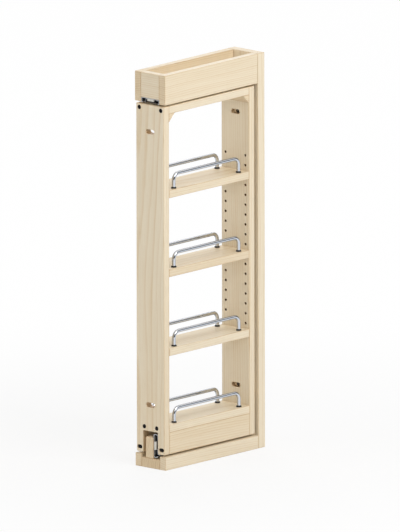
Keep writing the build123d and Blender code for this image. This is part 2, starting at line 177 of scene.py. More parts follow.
# Slide section. A point is given by how far it lies from the slide's middle, and by its level above
# the face that the slide is fixed to. A ball is given by these two and its radius.
sheet = 1.2 * mm
half_sheet = sheet / 2
outer_ball = (19.62 * mm, 5.4 * mm, 2.0 * mm)
inner_ball = (15.92 * mm, 9.0 * mm, 1.6 * mm)
ball_clearance = 0.03 * mm
outer_wall = 21.05 * mm
middle_wall = 17.02 * mm
inner_wall = 13.65 * mm
lip_level = 9.8 * mm
lip_edge = 19.35 * mm
middle_web_level = 3.4 * mm
middle_web_rise = 0.35 * mm
middle_bend_start = 2.2 * mm
middle_bend_end = 1.0 * mm
middle_edge_level = 11.0 * mm
inner_edge_level = 6.6 * mm
slide_thick = 12.7 * mm
outer_fold_radius = 1.05 * mm
lip_fold_radius = 0.8 * mm
inner_fold_radius = 1.0 * mm

# Holes in the slides' members, ball cages, and the bumpers that stop the slides
slide_screw_inset = 24.0 * mm
slide_screw_hole = 2.3 * mm
slide_round_hole = 3.2 * mm
slide_slot_half_width = 2.4 * mm
outer_slot_half_length = 6.0 * mm
inner_slot_half_length = 5.0 * mm
access_slot_half_length = 7.0 * mm
access_slot_half_width = 4.5 * mm
cage_thick = 0.8 * mm
cage_edge = 0.12 * mm
outer_cage_width = 5.6 * mm
inner_cage_width = 4.6 * mm
cage_hole_fit = 0.05 * mm
balls_in_row = 9
bumper_half_width = 8.0 * mm
bumper_length = 4.0 * mm
bumper_height = 4.8 * mm
bumper_edge = 0.7 * mm

body_of = {}
for body, nodes in frame["record"]["behaviour"]["bodies"].items():
    for node in nodes:
        body_of[node] = body


# Colours and shader nodes

def srgb(red, green, blue):
    """A colour as the eye sees it, from 11 to 255, in the linear values that shaders use."""
    return tuple(((part / 255 + 0.055) / 1.055) ** 2.4 for part in (red, green, blue)) + (1.0,)


def toned(colour, share, lift=0.0):
    """A darker share of a colour, lifted by an even grey."""
    return tuple(share * part + lift for part in colour[:3]) + (1.0,)


def grey(level):
    """An even grey, from its linear value."""
    return (level, level, level, 1.0)


class Nodes:
    """The nodes of a material or a world, and short ways to add and link them."""

    def __init__(self, tree):
        self.tree = tree
        self.nodes = tree.nodes

    def node(self, kind, inputs=None, **settings):
        """Add a node, then set or link its inputs, by name or number."""
        node = self.nodes.new("ShaderNode" + kind)
        for name, value in settings.items():
            setattr(node, name, value)
        for socket, value in (inputs or {}).items():
            self.feed(node.inputs[socket], value)
        return node

    def feed(self, socket, value):
        """Link an output to a socket, or set the socket's value."""
        if isinstance(value, bpy.types.NodeSocket):
            self.tree.links.new(value, socket)
        else:
            socket.default_value = value

    def math(self, operation, a, b=0.0, clamp=False):
        return self.node("Math", {0: a, 1: b}, operation=operation, use_clamp=clamp).outputs[0]

    def vector(self, operation, a, b=(0, 0, 0)):
        return self.node("VectorMath", {0: a, 1: b}, operation=operation).outputs["Vector"]

    def between(self, value, low, high, to_low=0.0, to_high=1.0):
        """Stretch a value from one range to another, with smooth ends."""
        inputs = {"Value": value, "From Min": low, "From Max": high, "To Min": to_low, "To Max": to_high}
        return self.node("MapRange", inputs, interpolation_type="SMOOTHSTEP").outputs["Result"]

    def ramp(self, value, stops):
        """Colours along a value, as (position, colour) pairs."""
        node = self.node("ValToRGB", {"Fac": value})
        while len(node.color_ramp.elements) < len(stops):
            node.color_ramp.elements.new(0.5)
        for element, (position, colour) in zip(node.color_ramp.elements, stops):
            element.position = position
            element.color = colour
        return node.outputs["Color"]

    def mix(self, share, colour_a, colour_b):
        node = self.node("Mix", data_type="RGBA")
        for socket, value in ((0, share), (6, colour_a), (7, colour_b)):
            self.feed(node.inputs[socket], value)
        return node.outputs[2]


class Shader(Nodes):
    """One procedural material on a Principled surface."""

    def __init__(self, name, **surface):
        self.material = bpy.data.materials.new(name)
        self.material.use_nodes = True
        super().__init__(self.material.node_tree)
        self.surface = self.nodes["Principled BSDF"]
        for socket, value in surface.items():
            self.surface.inputs[socket.replace("_", " ")].default_value = value
        self.coordinates = self.node("TexCoord").outputs
        self.place = self.coordinates["Object"]

    def set(self, socket, value):
        self.feed(self.surface.inputs[socket], value)

    def noise(self, waves, detail=2.0, roughness=0.5, at=None):
        """Noise between 0 and 1, with its own number of waves a metre along each axis."""
        spread = self.vector("MULTIPLY", at or self.place, waves)
        inputs = {"Vector": spread, "Scale": 1.0, "Detail": detail, "Roughness": roughness}
        return self.node("TexNoise", inputs).outputs["Fac"]

    def rough(self, base, parts):
        """Roughness from a base and the shares of several patterns."""
        scaled = [self.math("MULTIPLY", part, share) for part, share in parts]
        total = scaled[0]
        for part in scaled[1:] + [base]:
            total = self.math("ADD", total, part)
        self.set("Roughness", total)

    def bump(self, height, distance, strength):
        """Fine relief, which a height pattern raises by a distance."""
        bump = self.node("Bump", {"Height": height, "Distance": distance, "Strength": strength})
        self.set("Normal", bump.outputs["Normal"])

    def depths(self, low, high):
        """How deep a point lies inside a box: below its nearest face, and below the next one."""
        centre = [(a + b) / 2 for a, b in zip(low, high)]
        half = [(b - a) / 2 for a, b in zip(low, high)]
        offset = self.vector("ABSOLUTE", self.vector("SUBTRACT", self.place, centre))
        depth = self.node("SeparateXYZ", {0: self.vector("SUBTRACT", half, offset)}).outputs
        less = self.math("MINIMUM", depth[0], depth[1])
        more = self.math("MAXIMUM", depth[0], depth[1])
        nearest = self.math("MINIMUM", less, depth[2])
        second = self.math("MAXIMUM", less, self.math("MINIMUM", more, depth[2]))
        return nearest, second


# Maple. Waves are counted a metre, twice across the grain and then along it. A board's number picks
# its tree, and sines of the number spread the tilt of the grain, the pith and the tone.

wood_pale = srgb(240, 226, 200)
wood_mid = srgb(226, 203, 166)
wood_dark = srgb(190, 152, 108)
# Colour of the pin holes' walls: burnt drilled wood, darkened further as painted shade in the holes
burnt_and_shaded_wood = srgb(118, 84, 52)
wood_stops = ((0.0, wood_pale), (0.42, wood_mid), (1.0, wood_dark))
late_wood = ((0.0, grey(0.1)), (0.55, grey(0.22)), (0.86, grey(1.0)), (1.0, grey(0.1)))
golden_angle = 2.399
grain_tilt = radians(1.1)
pith_across = 60 * mm
pith_away = 85 * mm
pith_away_spread = 30 * mm
pith_step = 0.61
ring_pitch = 4.2 * mm
ring_warp = (26 * mm, 26 * mm, 0)
ring_wobble = 0.7
warp_waves = (9, 9, 1.6)
wobble_waves = (90, 90, 7)
fibre_waves = (640, 640, 11)
tone_waves = (13, 13, 1.1)
pore_waves = (1500, 1500, 70)
worn_waves = (160, 160, 160)
worn_wave_height = 0.9 * mm
fibre_relief = 0.12 * mm
board_tone = 0.09

# Where marks in the wood start and end: pore strength, how far a face looks along the grain, depths below
# the faces of the board for worn edges, for the painted shade line along the edges and for the raw,
# shade-darkened walls of holes, and the places of the drilled columns
pore_range = (0.66, 0.74)
end_grain_range = (0.75, 0.95)
worn_range = (0.8 * mm, 1.9 * mm)
painted_edge_shade_range = (0.3 * mm, 0.8 * mm)
raw_and_shade_range = (0.4 * mm, 1.2 * mm)
drilled_half_width = (3.0 * mm, 3.5 * mm)
drilled_from = (205.0 * mm, 210.0 * mm)


def pith_frame(shader, grain, number):
    """A point as seen from the pith of the board's own tree, with z along the grain."""
    axis = "XYZ".index(grain)
    order = [i for i in range(3) if i != axis] + [axis]
    parts = shader.node("SeparateXYZ", {0: shader.place}).outputs
    along_z = shader.node("CombineXYZ", {i: parts[order[i]] for i in range(3)}).outputs[0]
    turn = number * golden_angle
    tilt = grain_tilt * sin(number * 1.7)
    pith = (pith_across * cos(turn), pith_away + pith_away_spread * sin(number), number * pith_step)
    inputs = {"Vector": along_z, "Location": pith, "Rotation": (tilt, tilt / 2, turn)}
    return shader.node("Mapping", inputs).outputs[0]


def growth_rings(shader, inside):
    """Dark late wood at the end of each year's ring, in rings of uneven strength."""
    warp_field = shader.vector("MULTIPLY", inside, warp_waves)
    warp = shader.node("TexNoise", {"Vector": warp_field, "Scale": 1.0, "Detail": 2.0}).outputs["Color"]
    warp = shader.vector("MULTIPLY", shader.vector("SUBTRACT", warp, (0.5, 0.5, 0.5)), ring_warp)
    flat = shader.vector("MULTIPLY", shader.vector("ADD", inside, warp), (1, 1, 0))
    radius = shader.node("VectorMath", {0: flat}, operation="LENGTH").outputs["Value"]
    wobble = shader.math("MULTIPLY", shader.noise(wobble_waves, 3, at=inside), ring_wobble)
    years = shader.math("ADD", shader.math("DIVIDE", radius, ring_pitch), wobble)
    year = {"W": shader.math("FLOOR", years)}
    strength = shader.node("TexWhiteNoise", year, noise_dimensions="1D").outputs["Value"]
    late = shader.ramp(shader.math("FRACT", years), late_wood)
    return shader.math("MULTIPLY", late, shader.math("ADD", shader.math("MULTIPLY", strength, 0.7), 0.4))


def shaded_pin_hole_walls(shader, raw_and_painted_shade):
    """Where a raw surface below the board's face lies in one of the two columns of pin holes, to be painted
    dark as burnt drilled wood and as the shade deep in the holes.
    """
    parts = shader.node("SeparateXYZ", {0: shader.place}).outputs
    off_middle = shader.math("ABSOLUTE", parts[0])
    off_column = shader.math("ABSOLUTE", shader.math("SUBTRACT", off_middle, pin_column_half))
    in_column = shader.between(off_column, *drilled_half_width, 1.0, 0.0)
    in_rows = shader.between(parts[2], *drilled_from)
    return shader.math("MULTIPLY", shader.math("MULTIPLY", in_column, in_rows), raw_and_painted_shade)


def maple(name, low, high, grain, number, drilled_and_shaded=False):
    """Clear-finished maple with rings, fibres, pores, end grain, worn edges, a painted shade line along its
    edges, and hole walls darkened as raw wood and as painted shade.
    """
    shader = Shader(name, Coat_Weight=0.22, Coat_Roughness=0.32, Specular_IOR_Level=0.45)
    inside = pith_frame(shader, grain, number)
    late = growth_rings(shader, inside)
    fibre = shader.noise(fibre_waves, 5, 0.7, inside)
    tone = shader.noise(tone_waves, 3, 0.55, inside)
    pores = shader.between(shader.noise(pore_waves, 1, 0.5, inside), *pore_range)
    facing = shader.node("SeparateXYZ", {0: shader.coordinates["Normal"]}).outputs["XYZ".index(grain)]
    end = shader.between(shader.math("ABSOLUTE", facing), *end_grain_range)
    nearest, second = shader.depths(low, high)
    wave = shader.math("SUBTRACT", shader.noise(worn_waves, 3), 0.5)
    wave = shader.math("MULTIPLY", wave, worn_wave_height)
    worn = shader.between(shader.math("ADD", second, wave), *worn_range, 1.0, 0.0)
    # Painted shade: a dark line along every edge of the board, standing in for the shadow line in the
    # joints between boards
    painted_edge_shade = shader.between(second, *painted_edge_shade_range, 1.0, 0.0)
    # Partly painted shade: walls below the board's face, inside holes and slots, are darkened both as raw
    # wood and as the shade deep in a hole
    raw_and_painted_shade = shader.between(nearest, *raw_and_shade_range)
    marks = (
        (fibre, 0.5), (tone, 0.55), (pores, 0.2),
        (end, 0.22), (worn, 0.12), (painted_edge_shade, 0.4), (raw_and_painted_shade, 0.35),
    )
    dark = shader.math("MULTIPLY", late, 0.36)
    for part, share in marks:
        dark = shader.math("ADD", dark, shader.math("MULTIPLY", part, share))
    palest = 0.5 - board_tone * sin(number * 1.3)
    dark = shader.math("SUBTRACT", dark, palest, clamp=True)
    colour = shader.ramp(dark, wood_stops)
    # Partly painted shade: the walls of the pin holes turn dark burnt brown, partly as raw drilled wood and
    # partly as the shade deep in the holes
    if drilled_and_shaded:
        colour = shader.mix(shaded_pin_hole_walls(shader, raw_and_painted_shade), colour, burnt_and_shaded_wood)
    shader.set("Base Color", colour)
    shader.rough(0.34, ((fibre, 0.22), (worn, 0.12)))
    height = shader.math("SUBTRACT", fibre, shader.math("MULTIPLY", pores, 0.8))
    shader.bump(height, fibre_relief, 0.5)
    return shader.material


# Metals and plastics. Waves are counted a metre, along x, y and z.

def rolled_steel(name, colour, roughness, line_waves=(1200, 24, 1200)):
    """Plated strip: fine lines the way that it was rolled, cloudy plating and small scratches."""
    shader = Shader(name, Metallic=1.0)
    lines = shader.noise(line_waves, 4, 0.65)
    clouds = shader.noise((60, 22, 60), 3)
    scratch = shader.between(shader.noise((420, 2600, 420), 2), 0.7, 0.76)
    cloudy = shader.math("MULTIPLY", clouds, 0.6)
    shader.set("Base Color", shader.mix(cloudy, colour, toned(colour, 0.72)))
    shader.rough(roughness - 0.18, ((lines, 0.22), (clouds, 0.14), (scratch, 0.1)))
    shader.bump(shader.math("SUBTRACT", lines, scratch), 0.03 * mm, 0.5)
    return shader.material


def bright_metal(name, colour, roughness, scratches, rim=grey(1.0)):
    """Polished plate with a faint haze, wiping marks and hairline scratches."""
    shader = Shader(name, Metallic=1.0, Specular_Tint=rim)
    haze = shader.noise((28, 28, 28), 3, 0.6)
    wipes = shader.noise((240, 30, 240), 3, 0.6)
    hair = shader.between(shader.noise((2400, 300, 2400), 2), 0.68, 0.76)
    shader.set("Base Color", shader.mix(haze, colour, toned(colour, 0.86)))
    shader.rough(roughness, ((haze, 0.07), (wipes, 0.05), (hair, scratches)))
    shader.bump(shader.math("SUBTRACT", wipes, hair), 0.012 * mm, 0.25)
    return shader.material


def black_oxide(name, colour, bare):
    """Blackened screw steel, rubbed to bare metal where the driver and the fingers touched it."""
    shader = Shader(name, Metallic=0.85, Specular_IOR_Level=0.5)
    grain = shader.noise((900, 900, 900), 4)
    rubbed = shader.between(shader.noise((330, 330, 330), 3), 0.6, 0.7)
    shader.set("Base Color", shader.mix(shader.math("MULTIPLY", rubbed, 0.6), colour, bare))
    shader.rough(0.3, ((grain, 0.25),))
    shader.bump(grain, 0.03 * mm, 0.4)
    return shader.material


def moulded(name, colour, roughness, grain_waves, grain_height):
    """Moulded plastic with a fine spark-eroded grain and a few dull, dusty patches."""
    shader = Shader(name, Specular_IOR_Level=0.4)
    grain = shader.noise((grain_waves, grain_waves, grain_waves), 2, 0.6)
    dust = shader.between(shader.noise((130, 130, 60), 4, 0.6), 0.5, 0.75)
    dusty = shader.math("MULTIPLY", dust, 0.7)
    shader.set("Base Color", shader.mix(dusty, colour, toned(colour, 0.72, 0.045)))
    shader.rough(roughness, ((grain, 0.16), (dust, 0.18)))
    shader.bump(grain, grain_height, 0.6)
    return shader.material


zinc = rolled_steel("zinc_plate", srgb(202, 205, 209), 0.36)
cage_steel = rolled_steel("cage_strip", srgb(176, 178, 182), 0.42)
screw_zinc = rolled_steel("screw_zinc", srgb(196, 198, 200), 0.34, (700, 700, 700))
ball_steel = bright_metal("ball_steel", srgb(214, 216, 220), 0.1, 0.1)
chrome = bright_metal("rail_chrome", srgb(217, 222, 230), 0.05, 0.14, srgb(104, 109, 118))
nickel = bright_metal("pin_nickel", srgb(205, 200, 190), 0.2, 0.15)
black = black_oxide("black_screw", srgb(30, 30, 33), srgb(112, 110, 108))
foot_black = moulded("foot_plastic", srgb(26, 26, 28), 0.42, 2600, 0.03 * mm)
washer_black = moulded("washer_plastic", srgb(32, 32, 34), 0.5, 2200, 0.03 * mm)
bumper_white = moulded("bumper_plastic", srgb(226, 225, 216), 0.5, 1500, 0.04 * mm)


# Outlines and mesh helpers

x_axis = Vector((1, 0, 0))


def circle(radius, count):
    """The points of a circle, anticlockwise."""
    turns = [2 * pi * i / count for i in range(count)]
    return [(radius * cos(turn), radius * sin(turn)) for turn in turns]


def stadium(half_length, half_height):
    """A slot outline along x: a circle pulled apart at the y axis, on which none of its points lies."""
    shift = half_length - half_height
    turns = [2 * pi * (i + 0.5) / slot_sides for i in range(slot_sides)]
    ends = [(half_height * cos(turn), half_height * sin(turn)) for turn in turns]
    return [(x + (shift if x > 0 else -shift), y) for x, y in ends]


def growing_slot(half_length, half_height):
    """A slot's outline, as a function of how far it is grown all round."""
    def outline(grow):
        return stadium(half_length + grow, half_height + grow)

    return outline


def ring(place, outline, height):
    """The points of an outline at a height above a place."""
    return [place @ Vector((x, y, height)) for x, y in outline]


def join(mesh, ring_a, ring_b):
    """Faces between two rings of points."""
    count = len(ring_a)
    for i in range(count):
        j = (i + 1) % count
        mesh.faces.new((ring_a[i], ring_a[j], ring_b[j], ring_b[i]))


def loft(mesh, rings, close_far_end=True):
    """A skin through rings that all have the same number of points."""
    loops = [[mesh.verts.new(point) for point in points] for points in rings]
    for ring_a, ring_b in zip(loops, loops[1:]):
        join(mesh, ring_a, ring_b)
    mesh.faces.new(list(reversed(loops[0])))
    if close_far_end:
        mesh.faces.new(loops[-1])
    return loops


def turned(mesh, profile, place, count):
    """A lathe shape from (radius, height) pairs, placed by a matrix."""
    loft(mesh, [ring(place, circle(radius, count), height) for radius, height in profile])


def sunk(mesh, outline, depth, place, edge=hole_edge, through=False):
    """A cutter that goes down from the place's xy plane, with a small chamfer at its mouth."""
    levels = [(edge, cut_over), (edge, 0.0), (0.0, -edge)]
    if through:
        levels += [(0.0, edge - depth), (edge, -depth), (edge, -depth - cut_over)]
    else:
        levels += [(0.0, -depth)]
    loft(mesh, [ring(place, outline(grow), height) for grow, height in levels])


def rounded_box(mesh, low, high, radius, segments=3):
    """A box with rounded edges."""
    size = [b - a for a, b in zip(low, high)]
    centre = [(a + b) / 2 for a, b in zip(low, high)]
    place = Matrix.Translation(centre) @ Matrix.Diagonal((*size, 1))
    made = bmesh.ops.create_cube(mesh, size=1, matrix=place)
    edges = {edge for vert in made["verts"] for edge in vert.link_edges}
    bmesh.ops.bevel(mesh, geom=list(edges), offset=radius, segments=segments, profile=0.5, affect="EDGES")


def looking(origin, z_dir):
    """The matrix that puts a shape at an origin with its z axis in a direction and its x axis level."""
    z = Vector(z_dir).normalized()
    x = (x_axis - x_axis.dot(z) * z).normalized()
    y = z.cross(x)
    return Matrix.Translation(origin) @ Matrix((x, y, z)).transposed().to_4x4()


def shade(data, material, smooth_below):
    """Give a mesh one material and smooth shading, with sharp edges above an angle."""
    data.materials.clear()
    data.materials.append(material)
    data.polygons.foreach_set("material_index", [0] * len(data.polygons))
    data.polygons.foreach_set("use_smooth", [True] * len(data.polygons))
    data.set_sharp_from_angle(angle=radians(smooth_below))


def finish_mesh(name, mesh, material, smooth_below=smooth_angle):
    """Turn a finished bmesh into an object with the material."""
    bmesh.ops.recalc_face_normals(mesh, faces=mesh.faces)
    data = bpy.data.meshes.new(name)
    mesh.to_mesh(data)
    mesh.free()
    shade(data, material, smooth_below)
    piece = bpy.data.objects.new(name, data)
    bpy.context.scene.collection.objects.link(piece)
    return piece


def carve(piece, cutters):
    """Cut a mesh of closed cutters out of a piece."""
    material = piece.data.materials[0]
    tool = finish_mesh("cutters", cutters, material)
    cut = piece.modifiers.new("cut", "BOOLEAN")
    cut.object = tool
    cut.operation = "DIFFERENCE"
    cut.solver = "EXACT"
    bpy.context.view_layer.update()
    result = bpy.data.meshes.new_from_object(piece.evaluated_get(bpy.context.evaluated_depsgraph_get()))
    piece.modifiers.clear()
    piece.data = result
    shade(result, material, carved_smooth_angle)
    bpy.data.objects.remove(tool)


def stand_in(piece, node):
    """Let a piece take the place of a CAD node and move with its body."""
    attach(piece, body_of[node])
    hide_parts(node)


# Boards

def dress(node, grain, number):
    """Give a CAD board its own maple."""
    low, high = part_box(node)
    board = frame["nodes"][node]
    board.data.materials.clear()
    board.data.materials.append(maple(f"maple_{node}", low, high, grain, number))


plain_boards = (
    ("top_side_near", "Y"), ("top_side_far", "Y"), ("top_end_piece", "X"), ("top_web", "Y"),
    ("bottom_side_near", "Y"), ("bottom_side_far", "Y"), ("bottom_floor", "Y"), ("rail_board", "Y"),
    ("top_rail", "Y"), ("corner_block_back", "X"), ("corner_block_front", "X"),
    ("apron_near", "Y"), ("apron_far", "Y"), ("fixed_shelf", "Y"),
    ("shelf_1", "Y"), ("shelf_2", "Y"), ("shelf_3", "Y"), ("panel_spacers", "Z"), ("front_panel", "Z"),
)
for number, (node, grain) in enumerate(plain_boards):
    dress(node, grain, number)

# The front and the back board, and the places of their screws as (x, z)
back_low, back_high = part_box("back_board")
front_low, front_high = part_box("front_board")
top_screw_level = back_high.z - top_screw_below_top
flat_screw_spots = [(side * top_screw_half_spacing, top_screw_level) for side in (-1, 1)]
flat_screw_spots += [(side * shelf_screw_half_spacing, shelf_screw_level) for side in (-1, 1)]
oval_spots = [(side * apron_screw_half_spacing, apron_screw_level) for side in (-1, 1)]

whole_slot = growing_slot(slot_half_length, slot_half_height)
slot_neck = growing_slot(neck_half_length, neck_half_height)
oval_recess = growing_slot(oval_half_length, oval_half_height)
washer_outline = growing_slot(oval_half_length - washer_fit, oval_half_height - washer_fit)


def drill_pin_holes(cutters, face_y, inward):
    """Two columns of blind holes with the cone of the drill at their bottoms."""
    mouth = [(hole_edge, cut_over), (hole_edge, 0), (0, -hole_edge), (0, -pin_hole_depth)]
    profile = [(pin_hole_radius + grow, z) for grow, z in mouth]
    profile.append((drill_point_radius, -pin_hole_depth - drill_point_depth))
    for row in range(pin_rows):
        for side in (-1, 1):
            middle = (side * pin_column_half, face_y, first_pin_row + row * pin_pitch)
            turned(cutters, profile, looking(middle, (0, inward, 0)), pin_hole_sides)


def cut_slots(cutters, face_y, inward, thick, is_back):
    """Slots right through the back board, and recesses with a narrower neck in the front board."""
    for level in slot_levels:
        place = looking((0, face_y, level), (0, inward, 0))
        if is_back:
            sunk(cutters, whole_slot, thick, place, through=True)
        else:
            sunk(cutters, whole_slot, slot_recess, place)
            neck_place = looking((0, face_y - slot_recess + cut_over, level), (0, 1, 0))
            sunk(cutters, slot_neck, thick - slot_recess + cut_over, neck_place, neck_edge)


def frame_board(node, is_back, number):
    """The back or the front board, with its notch, slots, screw holes, oval recesses and pin holes."""
    low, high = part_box(node)
    outer_y, inner_y, outward = (high.y, low.y, 1) if is_back else (low.y, high.y, -1)
    thick = high.y - low.y
    board = bmesh.new()
    rounded_box(board, low, high, board_edge)
    piece = finish_mesh(f"{node}_fine", board, maple(f"maple_{node}", low, high, "Z", number, drilled_and_shaded=True))
    cutters = bmesh.new()
    notch_low = (-notch_half, low.y - cut_over, low.z - cut_over)
    notch_high = (notch_half, high.y + cut_over, low.z + notch_height)
    rounded_box(cutters, notch_low, notch_high, notch_edge, 1)
    drill_pin_holes(cutters, inner_y, -outward)
    cut_slots(cutters, inner_y, -outward, thick, is_back)
    countersink = [
        (flat_head_radius, cut_over), (flat_head_radius, -flat_head_land),
        (shank_radius, -flat_head_depth), (shank_radius, -thick - cut_over),
    ]
    for x, z in flat_screw_spots:
        turned(cutters, countersink, looking((x, outer_y, z), (0, outward, 0)), countersink_sides)
    for x, z in oval_spots:
        sunk(cutters, oval_recess, oval_depth, looking((x, outer_y, z), (0, outward, 0)))
    carve(piece, cutters)
    stand_in(piece, node)


# The numbers pick the tree that a board comes from
frame_board("back_board", is_back=True, number=31)
frame_board("front_board", is_back=False, number=32)


# Wire rails, their feet and the shelf pins

def wire_rail(node):
    """A round wire, bent down to a leg at both ends."""
    low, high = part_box(node)
    x = (low.x + high.x) / 2
    leg = high.y - wire_radius
    other = low.y + wire_radius
    bar = high.z - wire_radius
    path = [(leg, low.z)]
    for step in range(rail_bend_steps + 1):
        angle = pi / 2 * step / rail_bend_steps
        path.append((leg - rail_bend_radius * (1 - cos(angle)), bar - rail_bend_radius * (1 - sin(angle))))
    path += [(other + leg - y, z) for y, z in reversed(path)]
    rings = []
    for index, (y, z) in enumerate(path):
        before = path[max(index - 1, 0)]
        after = path[min(index + 1, len(path) - 1)]
        ahead = Vector((0, after[0] - before[0], after[1] - before[1])).normalized()
        side = x_axis.cross(ahead)
        centre = Vector((x, y, z))
        rings.append([centre + a * x_axis + b * side for a, b in circle(wire_radius, wire_sides)])
    mesh = bmesh.new()
    loft(mesh, rings)
    stand_in(finish_mesh(f"{node}_round", mesh, chrome), node)


rail_nodes = [node for node in frame["nodes"] if node.startswith("wire_rail")]
for node in rail_nodes:
    wire_rail(node)

feet = bmesh.new()
foot_profile = [
    (foot_radius - 0.4 * mm, 0.0), (foot_radius, 0.4 * mm), (foot_radius, 1.1 * mm),
    (foot_radius - 0.2 * mm, 1.6 * mm), (foot_radius - 0.6 * mm, 2.2 * mm),
    (foot_radius - 1.1 * mm, foot_height - 0.15 * mm), (wire_radius + 0.2 * mm, foot_height),
]
for node in rail_nodes:
    low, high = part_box(node)
    for y in (low.y + wire_radius, high.y - wire_radius):
        under_leg = ((low.x + high.x) / 2, y, low.z - foot_height)
        turned(feet, foot_profile, looking(under_leg, (0, 0, 1)), foot_sides)
stand_in(finish_mesh("rail_feet_turned", feet, foot_black), "rail_feet")

pins = bmesh.new()
pin_low, pin_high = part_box("shelf_pins")
pin_ends = (
    (pin_high.y, back_low.y - pin_reach, -1),
    (pin_low.y, front_high.y + pin_reach, 1),
)
for shelf in ("shelf_1", "shelf_2", "shelf_3"):
    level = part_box(shelf)[0].z + pin_above_underside
    for side in (-1, 1):
        for start, tip, inward in pin_ends:
            length = abs(tip - start)
            profile = [
                (pin_radius - pin_start_edge, 0), (pin_radius, pin_start_edge),
                (pin_radius, length - pin_far_edge), (pin_radius - pin_far_edge, length),
            ]
            place = looking((side * pin_column_half, start, level), (0, inward, 0))
            turned(pins, profile, place, pin_sides)
stand_in(finish_mesh("shelf_pins_turned", pins, nickel), "shelf_pins")


# Screws and washers

def cross(width, arm):
    """The outline of a cross recess, anticlockwise, from the width and the reach of its arms."""
    inner = width * recess_corner_share
    quarter = [(arm, -width / 2), (arm, width / 2), (inner, inner)]
    points = []
    for turn in range(4):
        c, s = round(cos(turn * pi / 2)), round(sin(turn * pi / 2))
        points += [(c * x - s * y, s * x + c * y) for x, y in quarter]
    return points


def closed_edges(mesh, loop):
    """The edges round a loop of vertices, which are made where the mesh has none."""
    pairs = zip(loop, loop[1:] + loop[:1])
    return [mesh.edges.get(pair) or mesh.edges.new(pair) for pair in pairs]


def screw(mesh, head, shank, length, place):
    """A screw with a cross recess. The head's (radius, height) pairs run from underneath to its crown."""
    profile = [(shank, -length)] + head
    rings = [ring(place, circle(radius, screw_sides), height) for radius, height in profile]
    rim = loft(mesh, rings, close_far_end=False)[-1]
    crown_radius, crown = head[-1]
    arm = crown_radius * recess_arm_share
    mouth_outline = cross(crown_radius * recess_width_share, arm)
    floor_outline = [(x * recess_floor_share, y * recess_floor_share) for x, y in mouth_outline]
    floor_level = crown - arm * recess_depth_share
    mouth = [mesh.verts.new(point) for point in ring(place, mouth_outline, crown)]
    floor = [mesh.verts.new(point) for point in ring(place, floor_outline, floor_level)]
    edges = closed_edges(mesh, rim) + closed_edges(mesh, mouth)
    bmesh.ops.triangle_fill(mesh, edges=edges, use_beauty=True)
    join(mesh, mouth, floor)
    mesh.faces.new(floor)


def flat_head(radius, depth):
    """A countersunk head that ends level with the board."""
    rim = radius - flat_head_fit
    crown = rim - flat_rim_edge
    return [(shank_radius, -depth), (rim, -flat_rim_bottom), (rim, -flat_rim_top), (crown, 0.0)]


def pan_head(radius, height):
    """A low round head."""
    steps = [(1.0, 0.0), (1.0, 0.3), (0.95, 0.6), (0.82, 0.85), (0.62, 1.0)]
    return [(radius * wide, height * high) for wide, high in steps]


def screws(node, places, head, shank, length, material):
    """All the screws of a node, each turned its own way in its hole."""
    mesh = bmesh.new()
    for index, place in enumerate(places):
        screw(mesh, head, shank, length, place @ Matrix.Rotation(index * screw_turn, 4, "Z"))
    stand_in(finish_mesh(f"{node}_cross", mesh, material, screw_smooth_angle), node)


flat_screw_head = flat_head(flat_head_radius, flat_head_depth)
small_pan_head = pan_head(pan_head_radius, pan_head_height)
large_pan_head = pan_head(panel_head_radius, panel_head_height)

outer_faces = ((back_high.y, 1), (front_low.y, -1))


def places_on_boards(spots, below=0.0):
    """Places at (x, z) spots on the outer faces of both boards, at a depth below the face."""
    return [looking((x, y - out * below, z), (0, out, 0)) for y, out in outer_faces for x, z in spots]


frame_places = places_on_boards(flat_screw_spots)
screws("frame_screws", frame_places, flat_screw_head, shank_radius, frame_screw_length, black)

apron_places = places_on_boards(oval_spots, oval_depth - washer_thick)
screws("apron_screws", apron_places, small_pan_head, shank_radius, apron_screw_length, black)

washers = bmesh.new()
washer_levels = (
    (-washer_edge, 0.0), (0.0, -washer_edge),
    (0.0, washer_edge - washer_thick), (-washer_edge, -washer_thick),
)
for place in apron_places:
    loft(washers, [ring(place, washer_outline(grow), height) for grow, height in washer_levels])
stand_in(finish_mesh("apron_washers_oval", washers, washer_black), "apron_washers")

neck_y = front_high.y - slot_recess
panel_places = [looking((0, neck_y, level), (0, 1, 0)) for level in slot_levels]
screws("panel_screws", panel_places, large_pan_head, shank_radius, panel_screw_length, black)


# Ball-bearing slides. A slide's frame has x across it, y out from its fixed board and z to the front.

facing_out = Matrix.Rotation(radians(-90), 4, "X")
facing_board = Matrix.Rotation(radians(90), 4, "X")
facing_across = Matrix.Rotation(radians(90), 4, "Y")


def slide_frame(slide):
    """Where a slide is fixed: the upper one flat under its web, the lower one against the rail board."""
    low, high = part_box(f"{slide}_slide_outer")
    if slide == "upper":
        return Matrix.Translation((0, 0, high.z)) @ Matrix(((-1, 0, 0), (0, 0, -1), (0, -1, 0))).to_4x4()
    middle = (low.z + high.z) / 2
    return Matrix.Translation((high.x, 0, middle)) @ Matrix(((0, -1, 0), (0, 0, -1), (1, 0, 0))).to_4x4()


def corner(before, at, after, radius, steps=5):
    """Points of the arc that rounds a corner of a line."""
    at = Vector(at)
    back = (Vector(before) - at).normalized()
    ahead = (Vector(after) - at).normalized()
    half = back.angle(ahead) / 2
    centre = at + (back + ahead).normalized() * radius / sin(half)
    start = at + back * radius / tan(half) - centre
    end = at + ahead * radius / tan(half) - centre
    return [tuple(centre + radius * start.slerp(end, i / steps)) for i in range(steps + 1)]


